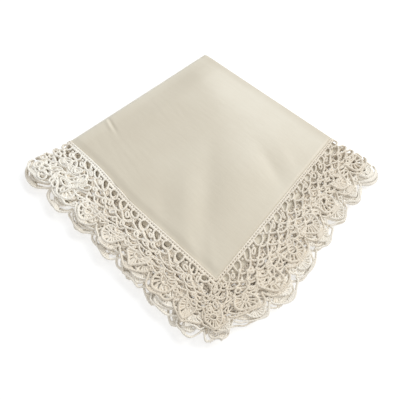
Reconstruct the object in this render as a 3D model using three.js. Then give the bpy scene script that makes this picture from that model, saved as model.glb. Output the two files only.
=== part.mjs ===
// A lace handkerchief: a square of ivory linen with a crocheted edging all round,
// folded in four and lying flat with its lace corner open. Millimetres, +Z up.
//
// Both pieces are drawn flat, as they were made, in the coordinates u and v, which are
// measured from the point where the two fold lines cross. One function then folds any
// point of the flat cloth: first in half over the line v = 0, which is the sharp edge on
// the +Y side, and then in half again over the line u = 0, the softer edge on the +X side.
import * as THREE from 'three';

// Driving dimensions
const GROUND_SIDE = 226; // linen, from seam to seam
const TOP_X = 111.5; // top quarter, from its seam to the outside of the second fold
const TOP_Y = 110; // top quarter, from its seam to the outside of the first fold
const SHEET = 1.1; // thickness of the cloth
const LAYER_GAP = 0.4; // air between two folded layers
const SEAM_GAP = 0.3; // between the linen and its edging
const MESH_PITCH = 7.9; // one loop of the crocheted net
const SCALLOP_PITCH = 17.3; // one fan of the border
const HEADING_DEPTH = 2.8; // solid stitches next to the seam
const NET_ROW = 5.4; // one row of net
const NET_WAVE = 0.9; // how far the loops of one row sink between those of the next
const VALLEY_DEPTH = 21.5; // from the seam to the notch between two scallops
const TIP_DEPTH = 26.5; // from the seam to the tip of a scallop

// Gaps of the lace that are over 4 mm: width along the seam, height away from it
const NET_GAP = { width: 5.2, height: 4.5, sides: 6 };
const OUTER_NET_GAP = { width: 4.8, height: 4.3, sides: 5 };
const FAN_GAP = { width: 5.2, height: 4.4, sides: 5 };
const FAN_GAP_DEPTH = 19.2; // from the seam to the middle of the gap in a scallop
const NARROWEST_WITH_A_GAP = 6.3; // a tile of net narrower than this stays whole

// How the cloth is divided into flat faces
const GROUND_STEPS = 9; // from a seam to a fold
const FIRST_FOLD_STEPS = 4;
const SECOND_FOLD_STEPS = 6;
const CORNER_CELLS = 2;
const ARC_SHARES = [0.12, 0.36, 0.64, 0.88]; // places of an outline's points on a scallop

// What follows from them
const LAYER_PITCH = SHEET + LAYER_GAP;
const STACK = 4 * SHEET + 3 * LAYER_GAP;
const FIRST_RADIUS = LAYER_PITCH / 2;
const SECOND_RADIUS = LAYER_PITCH;
const FIRST_BEND = (FIRST_RADIUS * Math.PI) / 2;
const SECOND_BEND = (SECOND_RADIUS * Math.PI) / 2;
const X_OF_FOLD = TOP_X - SECOND_RADIUS - FIRST_RADIUS - SHEET / 2;
const Y_OF_FOLD = TOP_Y - FIRST_RADIUS - SHEET / 2;
const U_TOP = X_OF_FOLD + SECOND_BEND;
const U_UNDER = GROUND_SIDE - U_TOP; // more than U_TOP, so the lower layers show
const V_TOP = Y_OF_FOLD + FIRST_BEND;
const V_UNDER = GROUND_SIDE - V_TOP;
const NET_TOP = HEADING_DEPTH;
const NET_MIDDLE = NET_TOP + NET_ROW;
const NET_END = NET_MIDDLE + NET_ROW;

// The hand-folded quarter isn't quite square. Shifts of its corners, from the seam's
// corner nearest the lace: at the far end of each seam and where the two folds meet.
const CORNER_SHIFTS = {
  firstFoldEnd: { x: -0.2, y: 1.8 },
  secondFoldEnd: { x: -0.2, y: 0.8 },
  foldsMeet: { x: 0.8, y: -4.0 },
};
const LOWER_LACE_STRETCH = 0.16; // of the lower layers' lace, near the second fold
const CORNER_TUCK = { share: 0.33, none: 20, whole: -12 }; // lace drawn in towards +Y at
// its open corner, by a share of its reach that grows from the x of none to that of whole
const LACE_SPREAD = { firstFold: 3.5, secondFold: 2, start: 88, reach: 28 }; // the lace
// isn't pressed as the linen is, so it spreads past both folds towards its outer edge

// Soft troughs and ridges of the stack: middle, heading of its length in degrees from +X,
// half length, half width, and rise as a share of the stack's height
const RIPPLES = [
  { x: 72, y: 64, heading: 50, length: 44, width: 15, rise: 0.06 },
  { x: 87, y: 50, heading: 88, length: 46, width: 11, rise: 0.06 },
  { x: 28, y: 27, heading: 40, length: 26, width: 7, rise: -0.06 },
  { x: 17, y: 34, heading: 46, length: 22, width: 6, rise: 0.05 },
  { x: 65, y: 18, heading: 66, length: 16, width: 6, rise: -0.05 },
  { x: -16, y: 40, heading: 90, length: 22, width: 9, rise: 0.06 },
  { x: -14, y: 84, heading: 80, length: 14, width: 8, rise: -0.03 },
  { x: 44, y: -18, heading: 0, length: 20, width: 9, rise: 0.05 },
  { x: 88, y: -16, heading: 8, length: 14, width: 9, rise: 0.07 },
];
const LACE_RISE = 0.08; // four layers of lace stand a little higher than four of linen
const PRESSED_EDGE = { rise: -0.03, reach: 6 }; // along the sharp first fold

function smoothStep(from, to, value) {
  const share = THREE.MathUtils.clamp((value - from) / (to - from), 0, 1);
  return share * share * (3 - 2 * share);
}

// Height of the stack at a place, as a share of STACK
function stackHeight(x, y) {
  let height = 1;
  for (const ripple of RIPPLES) {
    const turn = THREE.MathUtils.degToRad(ripple.heading);
    const dx = x - ripple.x;
    const dy = y - ripple.y;
    const along = (dx * Math.cos(turn) + dy * Math.sin(turn)) / ripple.length;
    const across = (dy * Math.cos(turn) - dx * Math.sin(turn)) / ripple.width;
    height += ripple.rise * Math.exp(-along * along - across * across);
  }
  height += LACE_RISE * smoothStep(4, -8, Math.min(x, y));
  height += PRESSED_EDGE.rise * smoothStep(TOP_Y - PRESSED_EDGE.reach, TOP_Y, y);
  return height;
}

// A point of the flat cloth, at a height above its middle surface, in its folded place
function foldPoint(u, v, height) {
  const firstTurn = THREE.MathUtils.clamp(v, -FIRST_BEND, FIRST_BEND) / FIRST_RADIUS;
  const firstLeg = Math.max(Math.abs(v) - FIRST_BEND, 0);
  const ring = FIRST_RADIUS + height;
  let y = Y_OF_FOLD + ring * Math.cos(firstTurn) - firstLeg;
  const secondTurn = THREE.MathUtils.clamp(u, -SECOND_BEND, SECOND_BEND) / SECOND_RADIUS;
  const secondLeg = Math.max(Math.abs(u) - SECOND_BEND, 0);
  const outerRing = SECOND_RADIUS + ring * Math.sin(firstTurn);
  let x = X_OF_FOLD + outerRing * Math.cos(secondTurn) - secondLeg;
  let z = STACK / 2 + outerRing * Math.sin(secondTurn);

  const p = x / TOP_X;
  if (y < 0) {
    const depth = smoothStep(STACK - SHEET / 2, STACK / 2 - LAYER_PITCH / 2, z);
    y *= 1 + LOWER_LACE_STRETCH * depth * smoothStep(0.5, 1, p);
    y *= 1 - CORNER_TUCK.share * smoothStep(CORNER_TUCK.none, CORNER_TUCK.whole, x);
  }
  const q = y / TOP_Y;
  const { firstFoldEnd, secondFoldEnd, foldsMeet } = CORNER_SHIFTS;
  x += p * q * foldsMeet.x + (1 - p) * q * firstFoldEnd.x + p * (1 - q) * secondFoldEnd.x;
  y += p * q * foldsMeet.y + (1 - p) * q * firstFoldEnd.y + p * (1 - q) * secondFoldEnd.y;
  const { firstFold, secondFold, start, reach } = LACE_SPREAD;
  const pastFirst = firstFold * smoothStep(-HEADING_DEPTH, -reach, x) * smoothStep(start, TOP_Y, y);
  const pastSecond = secondFold * smoothStep(-HEADING_DEPTH, -reach, y) * smoothStep(start, TOP_X, x);
  x += pastSecond;
  y += pastFirst;
  z *= stackHeight(x, y);
  return new THREE.Vector3(x, y, z);
}

// A piece of flat cloth as triangles in u and v, and the folded solid made from it
class FlatCloth {
  constructor() {
    this.points = [];
    this.keys = new Map();
    this.triangles = [];
  }

  point([u, v]) {
    const key = `${u.toFixed(4)} ${v.toFixed(4)}`;
    if (!this.keys.has(key)) {
      this.keys.set(key, this.points.length);
      this.points.push([u, v]);
    }
    return this.keys.get(key);
  }

  // Corners in either sense; the stored triangle runs counterclockwise
  triangle(a, b, c) {
    const [ia, ib, ic] = [a, b, c].map((corner) => this.point(corner));
    if (ia === ib || ib === ic || ic === ia) return;
    const area = (b[0] - a[0]) * (c[1] - a[1]) - (c[0] - a[0]) * (b[1] - a[1]);
    this.triangles.push(area > 0 ? [ia, ib, ic] : [ia, ic, ib]);
  }

  polygon(corners) {
    for (let i = 1; i + 1 < corners.length; i += 1) {
      this.triangle(corners[0], corners[i], corners[i + 1]);
    }
  }

  // A tile with one gap: two rings of points, both seen from the gap's middle, are
  // joined by a band of triangles
  tileWithGap(outer, gap) {
    const middle = [0, 1].map((axis) => gap.reduce((sum, at) => sum + at[axis], 0) / gap.length);
    const rings = [outer, gap].map((ring) => {
      const bearing = (at) => Math.atan2(at[1] - middle[1], at[0] - middle[0]);
      const sorted = ring.map((at) => ({ at, angle: bearing(at) }));
      sorted.sort((first, second) => first.angle - second.angle);
      return sorted;
    });
    const angleAt = (ring, index) => {
      const turns = Math.floor(index / ring.length);
      return ring[index % ring.length].angle + turns * 2 * Math.PI;
    };
    const [out, hole] = rings;
    let i = 0;
    let j = 0;
    while (i < out.length || j < hole.length) {
      const nextOut = angleAt(out, i) + angleAt(out, i + 1);
      const nextHole = angleAt(hole, j) + angleAt(hole, j + 1);
      const a = out[i % out.length].at;
      const b = hole[j % hole.length].at;
      const stepOut = j >= hole.length || (i < out.length && nextOut < nextHole);
      if (stepOut) {
        this.triangle(a, out[(i + 1) % out.length].at, b);
        i += 1;
      } else {
        this.triangle(a, hole[(j + 1) % hole.length].at, b);
        j += 1;
      }
    }
  }

  foldedGeometry() {
    const count = this.points.length;
    const positions = [];
    for (const height of [SHEET / 2, -SHEET / 2]) {
      for (const [u, v] of this.points) positions.push(...foldPoint(u, v, height).toArray());
    }
    const faces = [];
    const edges = new Set();
    for (const [a, b, c] of this.triangles) {
      faces.push(a, b, c, count + a, count + c, count + b);
      for (const edge of [[a, b], [b, c], [c, a]]) edges.add(edge.join(' '));
    }
    for (const edge of edges) {
      const [a, b] = edge.split(' ').map(Number);
      if (edges.has(`${b} ${a}`)) continue;
      faces.push(count + a, count + b, b, count + a, b, a);
    }
    const geometry = new THREE.BufferGeometry();
    geometry.setAttribute('position', new THREE.Float32BufferAttribute(positions, 3));
    geometry.setIndex(faces);
    geometry.computeVertexNormals();
    return geometry;
  }
}

// Places from one end of a stretch to the other, in equal steps
function evenly(from, to, steps) {
  return Array.from({ length: steps + 1 }, (_, i) => from + ((to - from) * i) / steps);
}

// Places across the whole ground, with a fold between two flat stretches
function placesAcross(under, top, bend, foldSteps) {
  return [
    ...evenly(-under, -bend, GROUND_STEPS),
    ...evenly(-bend, bend, foldSteps).slice(1, -1),
    ...evenly(bend, top, GROUND_STEPS),
  ];
}

function linenGround() {
  const cloth = new FlatCloth();
  const across = placesAcross(U_UNDER, U_TOP, SECOND_BEND, SECOND_FOLD_STEPS);
  const along = placesAcross(V_UNDER, V_TOP, FIRST_BEND, FIRST_FOLD_STEPS);
  for (let i = 0; i + 1 < across.length; i += 1) {
    for (let j = 0; j + 1 < along.length; j += 1) {
      const [u0, u1] = [across[i], across[i + 1]];
      const [v0, v1] = [along[j], along[j + 1]];
      cloth.polygon([[u0, v0], [u1, v0], [u1, v1], [u0, v1]]);
    }
  }
  return cloth.foldedGeometry();
}

// One quarter of the edging, from the second fold round a corner of the linen to the
// first fold. A place on it is a distance t along the seam, 0 at the corner's start, and
// a depth d away from the seam.
class EdgingQuarter {
  constructor(uSign, vSign) {
    this.uSign = uSign;
    this.vSign = vSign;
    this.u = uSign > 0 ? U_TOP : U_UNDER;
    this.v = vSign > 0 ? V_TOP : V_UNDER;
    this.start = -(this.u - SECOND_BEND);
    this.corner = CORNER_CELLS * MESH_PITCH;
    this.end = this.corner + this.v - FIRST_BEND;
    const cells = (length) => Math.round(length / MESH_PITCH);
    const beyond = this.end - this.corner;
    this.posts = [
      ...evenly(this.start, 0, cells(-this.start)),
      ...evenly(0, this.corner, CORNER_CELLS).slice(1, -1),
      ...evenly(this.corner, this.end, cells(beyond)),
    ];
    this.middles = this.posts.slice(1).map((t, i) => (t + this.posts[i]) / 2);
    // The net's outer line, with one more point on the round of the corner
    const onRound = this.posts.filter((t) => t > 0 && t < this.corner);
    this.netLine = [this.start, ...this.middles, ...onRound, this.end].sort((a, b) => a - b);
    const half = SCALLOP_PITCH / 2;
    const fans = (length) => Math.round((length - half) / SCALLOP_PITCH);
    this.valleys = [
      ...evenly(this.start, -half, fans(-this.start)),
      this.corner / 4,
      (this.corner * 3) / 4,
      ...evenly(this.corner + half, this.end, fans(beyond)),
    ];
  }

  place(t, d) {
    const turn = (THREE.MathUtils.clamp(t / this.corner, 0, 1) * Math.PI) / 2;
    const u = this.u + Math.min(t, 0) + d * Math.sin(turn);
    const v = this.v - Math.max(t - this.corner, 0) + d * Math.cos(turn);
    return [this.uSign * u, this.vSign * v];
  }

  breadth(t0, t1, depth) {
    const [a, b] = [this.place(t0, depth), this.place(t1, depth)];
    return Math.hypot(b[0] - a[0], b[1] - a[1]);
  }

  // A rounded gap in the middle of a stretch
  gap(t0, t1, depth, { width, height, sides }, phase) {
    const share = width / this.breadth(t0, t1, depth);
    return Array.from({ length: sides }, (_, i) => {
      const angle = ((i + phase) / sides) * 2 * Math.PI;
      const t = (t0 + t1) / 2 + (Math.cos(angle) * share * (t1 - t0)) / 2;
      return this.place(t, depth + (Math.sin(angle) * height) / 2);
    });
  }

  netEnd(from, to) {
    const line = this.netLine.filter((t) => t >= from && t <= to);
    return line.map((t) => this.place(t, NET_END)).reverse();
  }

  addHeading(cloth) {
    const seamEnd = (t) => this.place(t, SEAM_GAP);
    for (let i = 0; i + 1 < this.posts.length; i += 1) {
      const [t0, t1] = [this.posts[i], this.posts[i + 1]];
      if (t1 > 0 && t0 < this.corner) continue;
      const outer = [this.place(t1, NET_TOP), this.place(t0, NET_TOP)];
      cloth.polygon([seamEnd(t0), seamEnd(t1), ...outer]);
    }
    const mitre = [this.uSign * (this.u + SEAM_GAP), this.vSign * (this.v + SEAM_GAP)];
    const round = evenly(this.corner, 0, CORNER_CELLS).map((t) => this.place(t, NET_TOP));
    cloth.polygon([mitre, seamEnd(this.corner), ...round, seamEnd(0)]);
  }

  addInnerNet(cloth) {
    for (let i = 0; i + 1 < this.posts.length; i += 1) {
      const [t0, t1] = [this.posts[i], this.posts[i + 1]];
      const tile = [
        this.place(t0, NET_TOP),
        this.place(t1, NET_TOP),
        this.place(t1, NET_MIDDLE - NET_WAVE),
        this.place(this.middles[i], NET_MIDDLE + NET_WAVE),
        this.place(t0, NET_MIDDLE - NET_WAVE),
      ];
      const depth = NET_TOP + NET_ROW / 2 + NET_WAVE / 4;
      if (this.breadth(t0, t1, depth) > NARROWEST_WITH_A_GAP) {
        cloth.tileWithGap(tile, this.gap(t0, t1, depth, NET_GAP, 0.5));
      } else {
        cloth.polygon(tile);
      }
    }
  }

  addOuterNet(cloth) {
    const { middles } = this;
    const closing = (post, middle) => {
      cloth.polygon([
        this.place(post, NET_MIDDLE - NET_WAVE),
        this.place(middle, NET_MIDDLE + NET_WAVE),
        this.place(middle, NET_END),
        this.place(post, NET_END),
      ]);
    };
    closing(this.start, middles[0]);
    closing(this.end, middles.at(-1));
    for (let i = 0; i + 1 < middles.length; i += 1) {
      const [t0, t1] = [middles[i], middles[i + 1]];
      const tile = [
        this.place(t0, NET_MIDDLE + NET_WAVE),
        this.place(this.posts[i + 1], NET_MIDDLE - NET_WAVE),
        this.place(t1, NET_MIDDLE + NET_WAVE),
        ...this.netEnd(t0, t1),
      ];
      const gap = this.gap(t0, t1, NET_MIDDLE + NET_ROW / 2, OUTER_NET_GAP, 0.25);
      cloth.tileWithGap(tile, gap);
    }
  }

  // The point of the net's outer line that is nearest to a valley
  netPointBy(valley) {
    const nearer = (best, t) => (Math.abs(t - valley) < Math.abs(best - valley) ? t : best);
    return this.netLine.reduce(nearer);
  }

  addScallops(cloth) {
    for (let i = 0; i + 1 < this.valleys.length; i += 1) {
      const [t0, t1] = [this.valleys[i], this.valleys[i + 1]];
      const arc = ARC_SHARES.map((share) => {
        const rise = (TIP_DEPTH - VALLEY_DEPTH) * Math.sqrt(Math.sin(share * Math.PI));
        return this.place(t0 + (t1 - t0) * share, VALLEY_DEPTH + rise);
      });
      const tile = [
        ...this.netEnd(this.netPointBy(t0), this.netPointBy(t1)),
        this.place(t0, VALLEY_DEPTH),
        ...arc,
        this.place(t1, VALLEY_DEPTH),
      ];
      cloth.tileWithGap(tile, this.gap(t0, t1, FAN_GAP_DEPTH, FAN_GAP, 0.25));
    }
  }

  addTo(cloth) {
    this.addHeading(cloth);
    this.addInnerNet(cloth);
    this.addOuterNet(cloth);
    this.addScallops(cloth);
  }
}

// The short stretch of edging that bends over a fold line, in straight columns
function addFoldStrip(cloth, bend, steps, place) {
  const depths = [SEAM_GAP, NET_TOP, NET_MIDDLE - NET_WAVE, NET_END, VALLEY_DEPTH];
  const columns = evenly(-bend, bend, steps);
  for (let i = 0; i < steps; i += 1) {
    for (let k = 0; k + 1 < depths.length; k += 1) {
      const [t0, t1] = [columns[i], columns[i + 1]];
      const [d0, d1] = [depths[k], depths[k + 1]];
      cloth.polygon([place(t0, d0), place(t1, d0), place(t1, d1), place(t0, d1)]);
    }
  }
}

function crochetEdging() {
  const cloth = new FlatCloth();
  for (const uSign of [1, -1]) {
    for (const vSign of [1, -1]) new EdgingQuarter(uSign, vSign).addTo(cloth);
  }
  addFoldStrip(cloth, SECOND_BEND, SECOND_FOLD_STEPS, (t, d) => [t, V_TOP + d]);
  addFoldStrip(cloth, SECOND_BEND, SECOND_FOLD_STEPS, (t, d) => [t, -V_UNDER - d]);
  addFoldStrip(cloth, FIRST_BEND, FIRST_FOLD_STEPS, (t, d) => [U_TOP + d, t]);
  addFoldStrip(cloth, FIRST_BEND, FIRST_FOLD_STEPS, (t, d) => [-U_UNDER - d, t]);
  return cloth.foldedGeometry();
}

function piece(name, geometry, colour, roughness) {
  const material = new THREE.MeshStandardMaterial({ color: colour, roughness, metalness: 0 });
  const mesh = new THREE.Mesh(geometry, material);
  mesh.name = name;
  return mesh;
}

const handkerchief = new THREE.Group();
handkerchief.add(piece('linen_ground', linenGround(), '#d9d2c1', 0.9));
handkerchief.add(piece('crochet_edging', crochetEdging(), '#e9e2d3', 0.95));

// The origin is in the middle of the whole outline, on the surface that it lies on
const box = new THREE.Box3().setFromObject(handkerchief);
const middle = box.getCenter(new THREE.Vector3());
for (const mesh of handkerchief.children) {
  mesh.geometry.translate(-middle.x, -middle.y, -box.min.z);
}

export default handkerchief;
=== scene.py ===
# %% [markdown]
# # A folded lace handkerchief
# This lesson dresses the plain solids of a handkerchief: a square of ivory linen with a
# crocheted edging, folded in quarters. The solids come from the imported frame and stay
# where they are. Each piece made here is drawn flat first, as it was sewn or crocheted,
# and then one function folds it the way the solids are folded.

# %% Load the frame
import math

import bpy
import numpy as np
from mathutils import Matrix, Vector


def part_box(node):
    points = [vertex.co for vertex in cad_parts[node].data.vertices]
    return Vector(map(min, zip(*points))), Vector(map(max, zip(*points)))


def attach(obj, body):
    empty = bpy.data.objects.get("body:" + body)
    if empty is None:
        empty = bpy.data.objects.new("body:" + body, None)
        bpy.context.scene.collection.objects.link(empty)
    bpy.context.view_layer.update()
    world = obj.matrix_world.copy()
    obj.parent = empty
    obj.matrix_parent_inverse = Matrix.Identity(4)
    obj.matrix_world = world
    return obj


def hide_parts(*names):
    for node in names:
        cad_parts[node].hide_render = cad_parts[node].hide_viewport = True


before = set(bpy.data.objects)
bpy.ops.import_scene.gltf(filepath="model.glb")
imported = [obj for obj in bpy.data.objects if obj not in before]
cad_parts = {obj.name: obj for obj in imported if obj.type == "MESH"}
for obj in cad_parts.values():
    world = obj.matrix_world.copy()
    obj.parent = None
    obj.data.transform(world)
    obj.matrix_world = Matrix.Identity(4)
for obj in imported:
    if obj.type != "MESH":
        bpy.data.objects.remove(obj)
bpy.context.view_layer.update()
MM = 0.001
print("solids:", sorted(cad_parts))

# %% [markdown]
# ## The real sizes
# The handkerchief is described by a few sizes, the same that its solids have. The
# linen is one square. The fold lines lie a little off its middle, so the lower layers
# show beyond the top one along both lace sides.

# %% Sizes of the cloth and its folds
GROUND_SIDE = 226 * MM
TOP_X = 111.5 * MM
TOP_Y = 110 * MM
SOLID_SHEET = 1.1 * MM
LAYER_GAP = 0.4 * MM
STACK = 4 * SOLID_SHEET + 3 * LAYER_GAP
LAYER_PITCH = SOLID_SHEET + LAYER_GAP
FIRST_RADIUS = LAYER_PITCH / 2
SECOND_RADIUS = LAYER_PITCH
FIRST_BEND = FIRST_RADIUS * math.pi / 2
SECOND_BEND = SECOND_RADIUS * math.pi / 2
X_OF_FOLD = TOP_X - SECOND_RADIUS - FIRST_RADIUS - SOLID_SHEET / 2
Y_OF_FOLD = TOP_Y - FIRST_RADIUS - SOLID_SHEET / 2
U_TOP = X_OF_FOLD + SECOND_BEND
U_UNDER = GROUND_SIDE - U_TOP
V_TOP = Y_OF_FOLD + FIRST_BEND
V_UNDER = GROUND_SIDE - V_TOP
print(f"stack {STACK / MM:.1f} mm, top quarter {U_TOP / MM:.1f} by {V_TOP / MM:.1f} mm")

# %% [markdown]
# ## Soft troughs and ridges
# Folded cloth never lies dead level. A short table holds the main swells of the stack,
# in millimetres from the seam corner. Each has its middle, the heading of its length,
# its half sizes and its rise as a share of the stack's height. Height is only ever
# scaled, so no layer can pass through another. The lace is a little thicker than the
# linen, and the sharp fold is pressed a little flatter.

# %% Height of the stack
SWELLS = (
    dict(x=72, y=64, heading=50, length=44, width=15, rise=0.06),
    dict(x=87, y=50, heading=88, length=46, width=11, rise=0.06),
    dict(x=28, y=27, heading=40, length=26, width=7, rise=-0.06),
    dict(x=17, y=34, heading=46, length=22, width=6, rise=0.05),
    dict(x=65, y=18, heading=66, length=16, width=6, rise=-0.05),
    dict(x=-16, y=40, heading=90, length=22, width=9, rise=0.06),
    dict(x=-14, y=84, heading=80, length=14, width=8, rise=-0.03),
    dict(x=44, y=-18, heading=0, length=20, width=9, rise=0.05),
    dict(x=88, y=-16, heading=8, length=14, width=9, rise=0.07),
)
LACE_RISE = dict(share=0.08, none=4 * MM, whole=-8 * MM)
PRESSED_RISE = dict(share=-0.03, none=TOP_Y - 6 * MM, whole=TOP_Y)


def smooth_step(low, high, value):
    """0 at low and 1 at high, which may be the smaller of the two."""
    share = np.clip((value - low) / (high - low), 0, 1)
    return share * share * (3 - 2 * share)


def eased(change, value):
    """None of a change where the value is its none, all of it where it is its whole."""
    return change["share"] * smooth_step(change["none"], change["whole"], value)


def hump(x, y, swell):
    turn = math.radians(swell["heading"])
    dx = x - swell["x"] * MM
    dy = y - swell["y"] * MM
    along = (dx * math.cos(turn) + dy * math.sin(turn)) / (swell["length"] * MM)
    across = (dy * math.cos(turn) - dx * math.sin(turn)) / (swell["width"] * MM)
    return swell["rise"] * np.exp(-along * along - across * across)


def stack_height(x, y):
    height = 1 + sum(hump(x, y, swell) for swell in SWELLS)
    return height + eased(LACE_RISE, np.minimum(x, y)) + eased(PRESSED_RISE, y)


print("height over the middle:", round(float(stack_height(55 * MM, 55 * MM)), 3))

# %% [markdown]
# ## Folding
# A point of the flat cloth has the coordinates u and v, from where the fold lines
# cross, and a height above the cloth's middle surface. The first fold turns it round a
# small cylinder along v = 0, the second round a larger one along u = 0. A simple bend
# modifier can't nest two folds, so the turn is worked out for all points at once.
#
# Cloth folded by hand isn't quite square. Three of its corners are shifted a little,
# the lower layers of lace reach farther on one side, and the lace is drawn in at the
# lace corner and spreads beside the ends of the folds.

# %% Fold flat points
FIRST_FOLD_END = (-0.2 * MM, 1.8 * MM)
SECOND_FOLD_END = (-0.2 * MM, 0.8 * MM)
FOLDS_MEET = (0.8 * MM, -4.0 * MM)
LOWER_LACE_STRETCH = dict(share=0.16, none=0.5, whole=1)
CORNER_TUCK = dict(share=0.33, none=20 * MM, whole=-12 * MM)
LACE_SPREAD = dict(first_fold=3.5 * MM, second_fold=2 * MM, start=88 * MM, reach=28 * MM)
HEADING_DEPTH = 2.8 * MM


def fold_in_four(u, v, height):
    first_turn = np.clip(v, -FIRST_BEND, FIRST_BEND) / FIRST_RADIUS
    first_leg = np.maximum(np.abs(v) - FIRST_BEND, 0)
    ring = FIRST_RADIUS + height
    y = Y_OF_FOLD + ring * np.cos(first_turn) - first_leg
    second_turn = np.clip(u, -SECOND_BEND, SECOND_BEND) / SECOND_RADIUS
    second_leg = np.maximum(np.abs(u) - SECOND_BEND, 0)
    outer_ring = SECOND_RADIUS + ring * np.sin(first_turn)
    x = X_OF_FOLD + outer_ring * np.cos(second_turn) - second_leg
    z = STACK / 2 + outer_ring * np.sin(second_turn)

    p = x / TOP_X
    deep = smooth_step(STACK - SOLID_SHEET / 2, STACK / 2 - LAYER_PITCH / 2, z)
    stretch = 1 + deep * eased(LOWER_LACE_STRETCH, p)
    y = np.where(y < 0, y * stretch * (1 - eased(CORNER_TUCK, x)), y)
    q = y / TOP_Y
    shares = (p * q, (1 - p) * q, p * (1 - q))
    shifts = (FOLDS_MEET, FIRST_FOLD_END, SECOND_FOLD_END)
    x = x + sum(share * shift[0] for share, shift in zip(shares, shifts))
    y = y + sum(share * shift[1] for share, shift in zip(shares, shifts))

    start = LACE_SPREAD["start"]
    reach = LACE_SPREAD["reach"]
    past_first = smooth_step(-HEADING_DEPTH, -reach, x) * smooth_step(start, TOP_Y, y)
    past_second = smooth_step(-HEADING_DEPTH, -reach, y) * smooth_step(start, TOP_X, x)
    x = x + LACE_SPREAD["second_fold"] * past_second
    y = y + LACE_SPREAD["first_fold"] * past_first
    return x, y, z * stack_height(x, y)


folds_cross = fold_in_four(0, 0, 0)
print("the folds cross at, mm:", [round(float(place) / MM, 1) for place in folds_cross])

# %% [markdown]
# ## Where the frame has the fold
# The fold above counts from the seam corner, and the frame from the middle of the
# outline. Folding a bare sheet gives its lowest x and y, and the box of the linen's
# solid tells where those lie in the frame.

# %% Find the seam corner
OUTLINE_POINTS = 400


def solid_linen_corner():
    """The lowest x and y of the linen's solid, folded by the function above."""
    u, v = np.meshgrid(
        np.linspace(-U_UNDER, U_TOP, OUTLINE_POINTS),
        np.linspace(-V_UNDER, V_TOP, OUTLINE_POINTS),
    )
    x, y, _ = fold_in_four(u, v, 0)
    return x.min(), y.min()


lowest = solid_linen_corner()
linen_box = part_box("linen_ground")
SEAM_CORNER = (linen_box[0][0] - lowest[0], linen_box[0][1] - lowest[1])
print("seam corner in the frame, mm:", [round(c / MM, 2) for c in SEAM_CORNER])

# %% [markdown]
# ## Folding a mesh
# One seam is pulled by its edging and bows outwards, from its middle to the lace
# corner. A mesh keeps the flat places of its points in an attribute before it is
# folded, because its material is worked out on the flat cloth.

# %% Fold a mesh
SEAM_BOW = dict(
    depth=2.8 * MM,
    inside=(45 * MM, 6 * MM),
    outside=(-24 * MM, -6 * MM),
    along=(92 * MM, 52 * MM),
)


def seam_bow(x, y):
    beside = smooth_step(*SEAM_BOW["inside"], x) * smooth_step(*SEAM_BOW["outside"], x)
    return SEAM_BOW["depth"] * beside * smooth_step(*SEAM_BOW["along"], y)


def fold_mesh(mesh, lift=None):
    """Folds a mesh that was drawn flat, raised by lift where that is given."""
    count = len(mesh.vertices)
    flat = np.empty(count * 3)
    mesh.vertices.foreach_get("co", flat)
    flat = flat.reshape(count, 3)
    kept = mesh.attributes.new("flat", "FLOAT_VECTOR", "POINT")
    kept.data.foreach_set("vector", flat.ravel())
    height = flat[:, 2]
    if lift is not None:
        height = height + lift(flat[:, 0], flat[:, 1])
    x, y, z = fold_in_four(flat[:, 0], flat[:, 1], height)
    x = x - seam_bow(x, y)
    folded = np.column_stack([x + SEAM_CORNER[0], y + SEAM_CORNER[1], np.maximum(z, 0)])
    mesh.vertices.foreach_set("co", folded.ravel())
    mesh.update()


print("most bow of the seam, mm:", round(float(seam_bow(0, 0)) / MM, 2))

# %% [markdown]
# ## Shader maths
# Materials are written as small sums. One class wraps an output socket, so an
# expression on it adds the Math nodes that are needed. The other holds a material's
# node tree, with a method for each node that isn't plain maths.


# %% Sockets that can be added and multiplied
class Value:
    def __init__(self, tree, socket):
        self.tree = tree
        self.socket = socket

    def math(self, operation, *others):
        node = self.tree.nodes.new("ShaderNodeMath")
        node.operation = operation
        for slot, item in zip(node.inputs, (self, *others)):
            plug(self.tree, slot, item)
        return Value(self.tree, node.outputs[0])

    def clamped(self):
        return self.math("MAXIMUM", 0).math("MINIMUM", 1)

    def __add__(self, other):
        return self.math("ADD", other)

    def __sub__(self, other):
        return self.math("SUBTRACT", other)

    def __rsub__(self, other):
        return (self * -1) + other

    def __mul__(self, other):
        return self.math("MULTIPLY", other)


def plug(tree, slot, item):
    if isinstance(item, Value):
        tree.links.new(item.socket, slot)
    else:
        slot.default_value = item


class Finish:
    def __init__(self, name):
        self.material = bpy.data.materials.new(name)
        self.material.use_nodes = True
        self.tree = self.material.node_tree
        self.surface = self.tree.nodes["Principled BSDF"]

    def node(self, kind, output=0, **inputs):
        node = self.tree.nodes.new(kind)
        for name, item in inputs.items():
            plug(self.tree, node.inputs[name.replace("_", " ")], item)
        return Value(self.tree, node.outputs[output])

    def noise(self, place, scale, detail, **more):
        return self.node(
            "ShaderNodeTexNoise", Vector=place, Scale=scale, Detail=detail, **more
        )

    def between(self, tone, darker, lighter):
        """A colour between two, each given with the tone at which it is reached."""
        colour = self.node("ShaderNodeValToRGB", Fac=tone)
        ends = colour.socket.node.color_ramp.elements
        for end, (place, shade) in zip(ends, (darker, lighter)):
            end.position = place
            end.color = (*shade, 1)
        return colour

    def flat_place(self):
        """The flat place that each point was drawn at, whole and as its u and v."""
        flat = self.node("ShaderNodeAttribute", output=1)
        flat.socket.node.attribute_name = "flat"
        axes = self.tree.nodes.new("ShaderNodeSeparateXYZ")
        self.tree.links.new(flat.socket, axes.inputs[0])
        return flat, *(Value(self.tree, axes.outputs[axis]) for axis in (0, 1))

    def set(self, **inputs):
        for name, item in inputs.items():
            plug(self.tree, self.surface.inputs[name.replace("_", " ")], item)


print("shader maths ready")

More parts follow.
